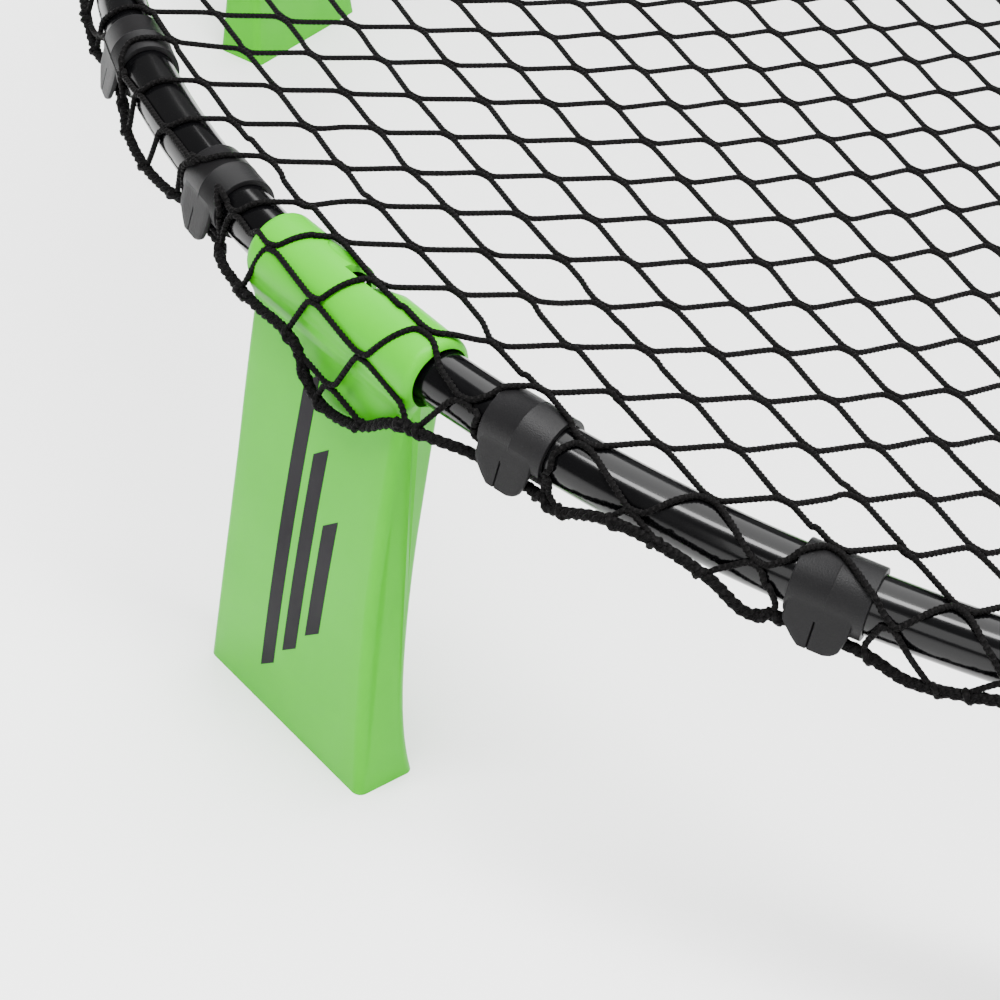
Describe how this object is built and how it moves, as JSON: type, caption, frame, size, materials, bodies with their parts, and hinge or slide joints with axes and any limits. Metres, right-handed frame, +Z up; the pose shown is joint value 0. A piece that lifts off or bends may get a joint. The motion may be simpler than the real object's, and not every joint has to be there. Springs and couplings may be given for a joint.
{
  "type": "roundnet set",
  "caption": "Round sectional ring on folding legs, with a taut knotless net hooked round its edge, for bouncing a small ball off in a lawn game.",
  "frame": {"origin": "on the ground, under the centre of the ring", "axes": "+Z up, -Y towards the first leg, the other legs following counter-clockwise seen from above"},
  "size_m": [0.9281, 0.9288, 0.1941],
  "materials": {
    "ring_tube": "gloss black enamel",
    "stop_steel": "plain steel",
    "hook_plastic": "black moulded, soft sheen",
    "leg_plastic": "bright green moulded, satin",
    "net_cord": "black knotless netting",
    "rope_cord": "black laid rope"
  },
  "bodies": {
    "ring": {"rim_section_1": "ring_tube", "rim_section_2": "ring_tube", "rim_section_3": "ring_tube", "rim_section_4": "ring_tube", "rim_section_5": "ring_tube", "leg_stop_1": "stop_steel", "leg_stop_2": "stop_steel", "leg_stop_3": "stop_steel", "leg_stop_4": "stop_steel", "leg_stop_5": "stop_steel", "net_hook_01": "hook_plastic", "net_hook_02": "hook_plastic", "net_hook_03": "hook_plastic", "net_hook_04": "hook_plastic", "net_hook_05": "hook_plastic", "net_hook_06": "hook_plastic", "net_hook_07": "hook_plastic", "net_hook_08": "hook_plastic", "net_hook_09": "hook_plastic", "net_hook_10": "hook_plastic", "net_hook_11": "hook_plastic", "net_hook_12": "hook_plastic", "net_hook_13": "hook_plastic", "net_hook_14": "hook_plastic", "net_hook_15": "hook_plastic", "net_hook_16": "hook_plastic", "net_hook_17": "hook_plastic", "net_hook_18": "hook_plastic", "net_hook_19": "hook_plastic", "net_hook_20": "hook_plastic", "net": "net_cord", "edge_rope": "rope_cord"},
    "leg_1": {"leg_1": "leg_plastic"},
    "leg_2": {"leg_2": "leg_plastic"},
    "leg_3": {"leg_3": "leg_plastic"},
    "leg_4": {"leg_4": "leg_plastic"},
    "leg_5": {"leg_5": "leg_plastic"}
  },
  "joints": [
    {"name": "leg_1_fold", "type": "hinge", "parent": "ring", "child": "leg_1", "pos_m": [0, -0.44899, 0.1785], "axis": [1, 0, 0], "range_deg": [0, 85]},
    {"name": "leg_2_fold", "type": "hinge", "parent": "ring", "child": "leg_2", "pos_m": [0.42702, -0.13875, 0.1785], "axis": [0.309, 0.9511, 0], "range_deg": [0, 85]},
    {"name": "leg_3_fold", "type": "hinge", "parent": "ring", "child": "leg_3", "pos_m": [0.26391, 0.36324, 0.1785], "axis": [-0.809, 0.5878, 0], "range_deg": [0, 85]},
    {"name": "leg_4_fold", "type": "hinge", "parent": "ring", "child": "leg_4", "pos_m": [-0.26391, 0.36324, 0.1785], "axis": [-0.809, -0.5878, 0], "range_deg": [0, 85]},
    {"name": "leg_5_fold", "type": "hinge", "parent": "ring", "child": "leg_5", "pos_m": [-0.42702, -0.13875, 0.1785], "axis": [0.309, -0.9511, 0], "range_deg": [0, 85]}
  ]
}
